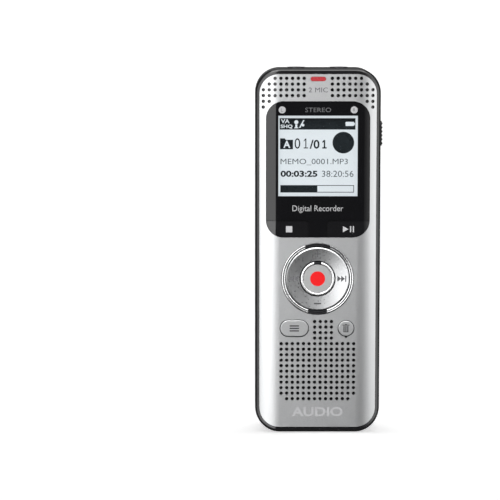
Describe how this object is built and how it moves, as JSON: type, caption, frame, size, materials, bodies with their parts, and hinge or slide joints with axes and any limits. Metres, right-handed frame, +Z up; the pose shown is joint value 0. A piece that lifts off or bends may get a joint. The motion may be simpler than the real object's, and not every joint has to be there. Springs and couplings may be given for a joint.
{
  "type": "pocket voice recorder",
  "caption": "Slim upright pocket voice recorder with a display, soft keys, a tilting navigation ring, a record key, a loudspeaker grille and a hinged battery door.",
  "frame": {"origin": "middle of the flat bottom end, at mid-thickness", "axes": "+Z up the length, -Y out of the display side, +Y out of the battery side, +X to the right seen from the front"},
  "size_m": [0.0389, 0.0211, 0.1112],
  "materials": {
    "silver_plate": "fine blasted satin silver",
    "black_frame": "polished black",
    "black_shell": "fine satin black",
    "display_glass": "clear window in a black printed border",
    "gloss_key": "polished black",
    "silver_key": "satin silver",
    "bright_chrome": "polished plating",
    "spun_silver": "circular spun finish",
    "dark_plastic": "moulded",
    "red_plastic": "gloss red",
    "key_rubber": "moulded silicone",
    "spring_steel": "nickel plated",
    "circuit_board": "green solder mask",
    "chip_black": "moulded epoxy",
    "lcd_glass": "lit pale blue-white",
    "foam_black": "closed-cell foam",
    "white_plastic": "moulded",
    "flex_amber": "polyimide film",
    "cone_paper": "pressed fibre",
    "black_cloth": "fine acoustic cloth",
    "lead_red": "insulated lead",
    "aluminium_can": "drawn can",
    "light_red": "clear red",
    "contact_gold": "gold flash",
    "bright_steel": "tinned",
    "slider_silver": "satin silver",
    "cell_wrap": "printed sleeve, plain",
    "screw_black": "black oxide"
  },
  "bodies": {
    "case": {"front_plate": "silver_plate", "front_frame": "black_frame", "rear_shell": "black_shell", "display_lens": "display_glass", "nav_bezel": "bright_chrome", "rubber_keypad": "key_rubber", "dome_switches": "spring_steel", "main_board": "circuit_board", "processor_chip": "chip_black", "memory_chip": "chip_black", "crystal": "spring_steel", "board_parts": "chip_black", "lcd_panel": "lcd_glass", "display_gasket": "foam_black", "lcd_backlight": "white_plastic", "lcd_holder": "white_plastic", "lcd_flex": "flex_amber", "speaker_frame": "dark_plastic", "speaker_magnet": "spring_steel", "speaker_cone": "cone_paper", "speaker_gasket": "foam_black", "speaker_cloth": "black_cloth", "speaker_leads": "lead_red", "mic_capsule_left": "aluminium_can", "mic_capsule_right": "aluminium_can", "mic_boot_left": "key_rubber", "mic_boot_right": "key_rubber", "mic_cloth": "black_cloth", "status_light_pipe": "light_red", "status_led": "white_plastic", "microphone_jack": "dark_plastic", "headphone_jack": "dark_plastic", "jack_contacts": "contact_gold", "usb_socket": "bright_steel", "usb_tongue": "dark_plastic", "slider_bezel": "black_frame", "slide_switch": "bright_steel", "battery_left": "cell_wrap", "battery_right": "cell_wrap", "battery_springs": "spring_steel", "battery_contacts": "spring_steel", "case_screws": "screw_black"},
    "stop_key": {"stop_key": "gloss_key"},
    "play_key": {"play_key": "gloss_key"},
    "menu_key": {"menu_key": "silver_key"},
    "delete_key": {"delete_key": "silver_key"},
    "record_button": {"record_key": "silver_key", "record_key_trim": "bright_chrome", "record_dot": "red_plastic"},
    "nav_carrier": {"nav_support_ring": "dark_plastic"},
    "nav_wheel": {"nav_ring": "spun_silver"},
    "power_knob": {"power_slider": "slider_silver", "slide_switch_lever": "dark_plastic"},
    "door": {"battery_door": "black_shell"}
  },
  "joints": [
    {"name": "stop_key_press", "type": "slide", "parent": "case", "child": "stop_key", "axis": [0, 1, 0], "range_m": [0, 0.00035], "stiffness_N_per_m": 400},
    {"name": "play_key_press", "type": "slide", "parent": "case", "child": "play_key", "axis": [0, 1, 0], "range_m": [0, 0.00035], "stiffness_N_per_m": 400},
    {"name": "menu_key_press", "type": "slide", "parent": "case", "child": "menu_key", "axis": [0, 1, 0], "range_m": [0, 0.00035], "stiffness_N_per_m": 400},
    {"name": "delete_key_press", "type": "slide", "parent": "case", "child": "delete_key", "axis": [0, 1, 0], "range_m": [0, 0.00035], "stiffness_N_per_m": 400},
    {"name": "record_key_press", "type": "slide", "parent": "case", "child": "record_button", "axis": [0, 1, 0], "range_m": [0, 0.00035], "stiffness_N_per_m": 400},
    {"name": "nav_tilt_vertical", "type": "hinge", "parent": "case", "child": "nav_carrier", "pos_m": [0, -0.0094, 0.04725], "axis": [1, 0, 0], "range_deg": [-2, 2], "stiffness_Nm_per_rad": 0.05},
    {"name": "nav_tilt_horizontal", "type": "hinge", "parent": "nav_carrier", "child": "nav_wheel", "pos_m": [0, -0.0094, 0.04725], "axis": [0, 0, 1], "range_deg": [-2, 2], "stiffness_Nm_per_rad": 0.05},
    {"name": "power_slide", "type": "slide", "parent": "case", "child": "power_knob", "axis": [0, 0, 1], "range_m": [-0.0015, 0.0015]},
    {"name": "battery_door_swing", "type": "hinge", "parent": "case", "child": "door", "pos_m": [0, 0.0097, 0.0094], "axis": [-1, 0, 0], "range_deg": [0, 95]}
  ]
}
